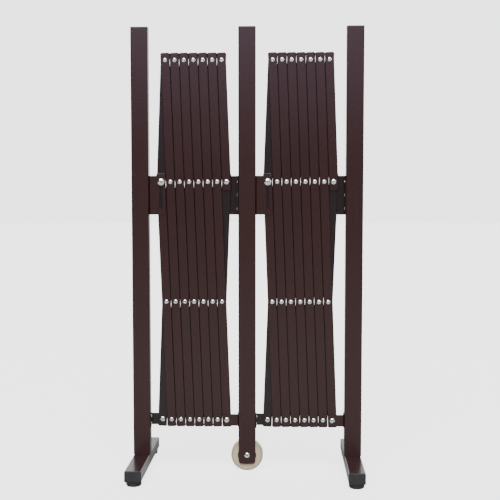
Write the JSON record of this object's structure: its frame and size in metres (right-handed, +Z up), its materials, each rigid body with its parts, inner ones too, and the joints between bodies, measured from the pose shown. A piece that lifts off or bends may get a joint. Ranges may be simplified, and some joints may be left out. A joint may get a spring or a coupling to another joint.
{
  "type": "folding safety gate",
  "caption": "Free-standing folding gate: upright posts on feet and a wheel, joined by crossed riveted slat panels that stretch sideways to close off an opening.",
  "frame": {"origin": "on the floor under the middle post, in the middle of the folded gate's width and depth", "axes": "+Z up, X along the gate with +X to the right seen from the front, -Y to the front"},
  "size_m": [0.5372, 0.315, 1.035],
  "materials": {
    "powder_coat": "semi-gloss dark brown powder coat",
    "bright_steel": "bright zinc plate",
    "black_plastic": "satin moulded black",
    "nylon": "milky natural nylon"
  },
  "bodies": {
    "left_post": {"left_post": "powder_coat", "left_post_cap": "black_plastic", "left_post_fasteners": "bright_steel", "left_foot_bar": "powder_coat", "left_foot_caps": "black_plastic", "left_foot_glides": "black_plastic", "left_slide_bracket": "powder_coat", "left_pivot_bracket": "powder_coat"},
    "middle_post": {"middle_post": "powder_coat", "middle_post_cap": "black_plastic", "middle_post_fasteners": "bright_steel", "middle_left_slide_bracket": "powder_coat", "middle_left_pivot_bracket": "powder_coat", "middle_right_slide_bracket": "powder_coat", "middle_right_pivot_bracket": "powder_coat", "axle_bolt": "bright_steel", "axle_nut": "bright_steel", "wheel_spacers": "black_plastic"},
    "right_post": {"right_post": "powder_coat", "right_post_cap": "black_plastic", "right_post_fasteners": "bright_steel", "right_foot_bar": "powder_coat", "right_foot_caps": "black_plastic", "right_foot_glides": "black_plastic", "right_slide_bracket": "powder_coat", "right_pivot_bracket": "powder_coat"},
    "wheel": {"wheel": "nylon", "wheel_bush": "bright_steel"},
    "left_front_slat_1": {"left_front_slat_1": "powder_coat"},
    "left_rear_slat_1": {"left_rear_slat_1": "powder_coat"},
    "left_front_slat_2": {"left_front_slat_2": "powder_coat"},
    "left_rear_slat_2": {"left_rear_slat_2": "powder_coat"},
    "left_front_slat_3": {"left_front_slat_3": "powder_coat"},
    "left_rear_slat_3": {"left_rear_slat_3": "powder_coat"},
    "left_front_slat_4": {"left_front_slat_4": "powder_coat"},
    "left_rear_slat_4": {"left_rear_slat_4": "powder_coat"},
    "left_front_slat_5": {"left_front_slat_5": "powder_coat"},
    "left_rear_slat_5": {"left_rear_slat_5": "powder_coat"},
    "left_front_slat_6": {"left_front_slat_6": "powder_coat"},
    "left_rear_slat_6": {"left_rear_slat_6": "powder_coat"},
    "left_front_slat_7": {"left_front_slat_7": "powder_coat"},
    "left_rear_slat_7": {"left_rear_slat_7": "powder_coat"},
    "left_front_slat_8": {"left_front_slat_8": "powder_coat"},
    "left_rear_slat_8": {"left_rear_slat_8": "powder_coat"},
    "right_front_slat_1": {"right_front_slat_1": "powder_coat"},
    "right_rear_slat_1": {"right_rear_slat_1": "powder_coat"},
    "right_front_slat_2": {"right_front_slat_2": "powder_coat"},
    "right_rear_slat_2": {"right_rear_slat_2": "powder_coat"},
    "right_front_slat_3": {"right_front_slat_3": "powder_coat"},
    "right_rear_slat_3": {"right_rear_slat_3": "powder_coat"},
    "right_front_slat_4": {"right_front_slat_4": "powder_coat"},
    "right_rear_slat_4": {"right_rear_slat_4": "powder_coat"},
    "right_front_slat_5": {"right_front_slat_5": "powder_coat"},
    "right_rear_slat_5": {"right_rear_slat_5": "powder_coat"},
    "right_front_slat_6": {"right_front_slat_6": "powder_coat"},
    "right_rear_slat_6": {"right_rear_slat_6": "powder_coat"},
    "right_front_slat_7": {"right_front_slat_7": "powder_coat"},
    "right_rear_slat_7": {"right_rear_slat_7": "powder_coat"},
    "right_front_slat_8": {"right_front_slat_8": "powder_coat"},
    "right_rear_slat_8": {"right_rear_slat_8": "powder_coat"}
  },
  "joints": [
    {"name": "left_panel_stretch", "type": "hinge", "parent": "left_post", "child": "left_rear_slat_2", "pos_m": [-0.2006, 0, 0.12], "axis": [0, 1, 0], "range_deg": [0, 24.1]},
    {"name": "left_front_slat_1_pivot", "type": "hinge", "parent": "left_rear_slat_2", "child": "left_front_slat_1", "pos_m": [-0.1897, 0, 0.4], "axis": [0, 1, 0], "range_deg": [-48.2, 0]},
    {"name": "left_front_slat_2_pivot", "type": "hinge", "parent": "left_rear_slat_2", "child": "left_front_slat_2", "pos_m": [-0.1788, 0, 0.68], "axis": [0, 1, 0], "range_deg": [-48.2, 0]},
    {"name": "left_front_slat_3_pivot", "type": "hinge", "parent": "left_rear_slat_2", "child": "left_front_slat_3", "pos_m": [-0.1679, 0, 0.96], "axis": [0, 1, 0], "range_deg": [-48.2, 0]},
    {"name": "left_rear_slat_1_pivot", "type": "hinge", "parent": "left_front_slat_2", "child": "left_rear_slat_1", "pos_m": [-0.1897, 0, 0.96], "axis": [0, 1, 0], "range_deg": [0, 48.2]},
    {"name": "left_rear_slat_3_pivot", "type": "hinge", "parent": "left_front_slat_3", "child": "left_rear_slat_3", "pos_m": [-0.157, 0, 0.68], "axis": [0, 1, 0], "range_deg": [0, 48.2]},
    {"name": "left_rear_slat_4_pivot", "type": "hinge", "parent": "left_front_slat_3", "child": "left_rear_slat_4", "pos_m": [-0.1461, 0, 0.4], "axis": [0, 1, 0], "range_deg": [0, 48.2]},
    {"name": "left_rear_slat_5_pivot", "type": "hinge", "parent": "left_front_slat_3", "child": "left_rear_slat_5", "pos_m": [-0.1352, 0, 0.12], "axis": [0, 1, 0], "range_deg": [0, 48.2]},
    {"name": "left_front_slat_4_pivot", "type": "hinge", "parent": "left_rear_slat_5", "child": "left_front_slat_4", "pos_m": [-0.1243, 0, 0.4], "axis": [0, 1, 0], "range_deg": [-48.2, 0]},
    {"name": "left_front_slat_5_pivot", "type": "hinge", "parent": "left_rear_slat_5", "child": "left_front_slat_5", "pos_m": [-0.1134, 0, 0.68], "axis": [0, 1, 0], "range_deg": [-48.2, 0]},
    {"name": "left_front_slat_6_pivot", "type": "hinge", "parent": "left_rear_slat_5", "child": "left_front_slat_6", "pos_m": [-0.1025, 0, 0.96], "axis": [0, 1, 0], "range_deg": [-48.2, 0]},
    {"name": "left_rear_slat_6_pivot", "type": "hinge", "parent": "left_front_slat_6", "child": "left_rear_slat_6", "pos_m": [-0.0916, 0, 0.68], "axis": [0, 1, 0], "range_deg": [0, 48.2]},
    {"name": "left_rear_slat_7_pivot", "type": "hinge", "parent": "left_front_slat_6", "child": "left_rear_slat_7", "pos_m": [-0.0807, 0, 0.4], "axis": [0, 1, 0], "range_deg": [0, 48.2]},
    {"name": "left_rear_slat_8_pivot", "type": "hinge", "parent": "left_front_slat_6", "child": "left_rear_slat_8", "pos_m": [-0.0698, 0, 0.12], "axis": [0, 1, 0], "range_deg": [0, 48.2]},
    {"name": "left_front_slat_7_pivot", "type": "hinge", "parent": "left_rear_slat_8", "child": "left_front_slat_7", "pos_m": [-0.0589, 0, 0.4], "axis": [0, 1, 0], "range_deg": [-48.2, 0]},
    {"name": "left_front_slat_8_pivot", "type": "hinge", "parent": "left_rear_slat_8", "child": "left_front_slat_8", "pos_m": [-0.048, 0, 0.68], "axis": [0, 1, 0], "range_deg": [-48.2, 0]},
    {"name": "middle_post_pivot", "type": "hinge", "parent": "left_front_slat_7", "child": "middle_post", "pos_m": [-0.048, 0, 0.12], "axis": [0, 1, 0], "range_deg": [0, 24.1]},
    {"name": "right_panel_stretch", "type": "hinge", "parent": "middle_post", "child": "right_rear_slat_2", "pos_m": [0.048, 0, 0.12], "axis": [0, 1, 0], "range_deg": [0, 24.1]},
    {"name": "right_front_slat_1_pivot", "type": "hinge", "parent": "right_rear_slat_2", "child": "right_front_slat_1", "pos_m": [0.0589, 0, 0.4], "axis": [0, 1, 0], "range_deg": [-48.2, 0]},
    {"name": "right_front_slat_2_pivot", "type": "hinge", "parent": "right_rear_slat_2", "child": "right_front_slat_2", "pos_m": [0.0698, 0, 0.68], "axis": [0, 1, 0], "range_deg": [-48.2, 0]},
    {"name": "right_front_slat_3_pivot", "type": "hinge", "parent": "right_rear_slat_2", "child": "right_front_slat_3", "pos_m": [0.0807, 0, 0.96], "axis": [0, 1, 0], "range_deg": [-48.2, 0]},
    {"name": "right_rear_slat_1_pivot", "type": "hinge", "parent": "right_front_slat_2", "child": "right_rear_slat_1", "pos_m": [0.0589, 0, 0.96], "axis": [0, 1, 0], "range_deg": [0, 48.2]},
    {"name": "right_rear_slat_3_pivot", "type": "hinge", "parent": "right_front_slat_3", "child": "right_rear_slat_3", "pos_m": [0.0916, 0, 0.68], "axis": [0, 1, 0], "range_deg": [0, 48.2]},
    {"name": "right_rear_slat_4_pivot", "type": "hinge", "parent": "right_front_slat_3", "child": "right_rear_slat_4", "pos_m": [0.1025, 0, 0.4], "axis": [0, 1, 0], "range_deg": [0, 48.2]},
    {"name": "right_rear_slat_5_pivot", "type": "hinge", "parent": "right_front_slat_3", "child": "right_rear_slat_5", "pos_m": [0.1134, 0, 0.12], "axis": [0, 1, 0], "range_deg": [0, 48.2]},
    {"name": "right_front_slat_4_pivot", "type": "hinge", "parent": "right_rear_slat_5", "child": "right_front_slat_4", "pos_m": [0.1243, 0, 0.4], "axis": [0, 1, 0], "range_deg": [-48.2, 0]},
    {"name": "right_front_slat_5_pivot", "type": "hinge", "parent": "right_rear_slat_5", "child": "right_front_slat_5", "pos_m": [0.1352, 0, 0.68], "axis": [0, 1, 0], "range_deg": [-48.2, 0]},
    {"name": "right_front_slat_6_pivot", "type": "hinge", "parent": "right_rear_slat_5", "child": "right_front_slat_6", "pos_m": [0.1461, 0, 0.96], "axis": [0, 1, 0], "range_deg": [-48.2, 0]},
    {"name": "right_rear_slat_6_pivot", "type": "hinge", "parent": "right_front_slat_6", "child": "right_rear_slat_6", "pos_m": [0.157, 0, 0.68], "axis": [0, 1, 0], "range_deg": [0, 48.2]},
    {"name": "right_rear_slat_7_pivot", "type": "hinge", "parent": "right_front_slat_6", "child": "right_rear_slat_7", "pos_m": [0.1679, 0, 0.4], "axis": [0, 1, 0], "range_deg": [0, 48.2]},
    {"name": "right_rear_slat_8_pivot", "type": "hinge", "parent": "right_front_slat_6", "child": "right_rear_slat_8", "pos_m": [0.1788, 0, 0.12], "axis": [0, 1, 0], "range_deg": [0, 48.2]},
    {"name": "right_front_slat_7_pivot", "type": "hinge", "parent": "right_rear_slat_8", "child": "right_front_slat_7", "pos_m": [0.1897, 0, 0.4], "axis": [0, 1, 0], "range_deg": [-48.2, 0]},
    {"name": "right_front_slat_8_pivot", "type": "hinge", "parent": "right_rear_slat_8", "child": "right_front_slat_8", "pos_m": [0.2006, 0, 0.68], "axis": [0, 1, 0], "range_deg": [-48.2, 0]},
    {"name": "right_post_pivot", "type": "hinge", "parent": "right_front_slat_7", "child": "right_post", "pos_m": [0.2006, 0, 0.12], "axis": [0, 1, 0], "range_deg": [0, 24.1]},
    {"name": "wheel_spin", "type": "hinge", "parent": "middle_post", "child": "wheel", "pos_m": [0, 0, 0.0375], "axis": [0, 1, 0], "continuous": true}
  ],
  "couplings": [
    {"joint": "left_front_slat_1_pivot", "follows": "left_panel_stretch", "ratio": -2},
    {"joint": "left_front_slat_2_pivot", "follows": "left_panel_stretch", "ratio": -2},
    {"joint": "left_front_slat_3_pivot", "follows": "left_panel_stretch", "ratio": -2},
    {"joint": "left_rear_slat_1_pivot", "follows": "left_panel_stretch", "ratio": 2},
    {"joint": "left_rear_slat_3_pivot", "follows": "left_panel_stretch", "ratio": 2},
    {"joint": "left_rear_slat_4_pivot", "follows": "left_panel_stretch", "ratio": 2},
    {"joint": "left_rear_slat_5_pivot", "follows": "left_panel_stretch", "ratio": 2},
    {"joint": "left_front_slat_4_pivot", "follows": "left_panel_stretch", "ratio": -2},
    {"joint": "left_front_slat_5_pivot", "follows": "left_panel_stretch", "ratio": -2},
    {"joint": "left_front_slat_6_pivot", "follows": "left_panel_stretch", "ratio": -2},
    {"joint": "left_rear_slat_6_pivot", "follows": "left_panel_stretch", "ratio": 2},
    {"joint": "left_rear_slat_7_pivot", "follows": "left_panel_stretch", "ratio": 2},
    {"joint": "left_rear_slat_8_pivot", "follows": "left_panel_stretch", "ratio": 2},
    {"joint": "left_front_slat_7_pivot", "follows": "left_panel_stretch", "ratio": -2},
    {"joint": "left_front_slat_8_pivot", "follows": "left_panel_stretch", "ratio": -2},
    {"joint": "middle_post_pivot", "follows": "left_panel_stretch", "ratio": 1},
    {"joint": "right_front_slat_1_pivot", "follows": "right_panel_stretch", "ratio": -2},
    {"joint": "right_front_slat_2_pivot", "follows": "right_panel_stretch", "ratio": -2},
    {"joint": "right_front_slat_3_pivot", "follows": "right_panel_stretch", "ratio": -2},
    {"joint": "right_rear_slat_1_pivot", "follows": "right_panel_stretch", "ratio": 2},
    {"joint": "right_rear_slat_3_pivot", "follows": "right_panel_stretch", "ratio": 2},
    {"joint": "right_rear_slat_4_pivot", "follows": "right_panel_stretch", "ratio": 2},
    {"joint": "right_rear_slat_5_pivot", "follows": "right_panel_stretch", "ratio": 2},
    {"joint": "right_front_slat_4_pivot", "follows": "right_panel_stretch", "ratio": -2},
    {"joint": "right_front_slat_5_pivot", "follows": "right_panel_stretch", "ratio": -2},
    {"joint": "right_front_slat_6_pivot", "follows": "right_panel_stretch", "ratio": -2},
    {"joint": "right_rear_slat_6_pivot", "follows": "right_panel_stretch", "ratio": 2},
    {"joint": "right_rear_slat_7_pivot", "follows": "right_panel_stretch", "ratio": 2},
    {"joint": "right_rear_slat_8_pivot", "follows": "right_panel_stretch", "ratio": 2},
    {"joint": "right_front_slat_7_pivot", "follows": "right_panel_stretch", "ratio": -2},
    {"joint": "right_front_slat_8_pivot", "follows": "right_panel_stretch", "ratio": -2},
    {"joint": "right_post_pivot", "follows": "right_panel_stretch", "ratio": 1}
  ]
}
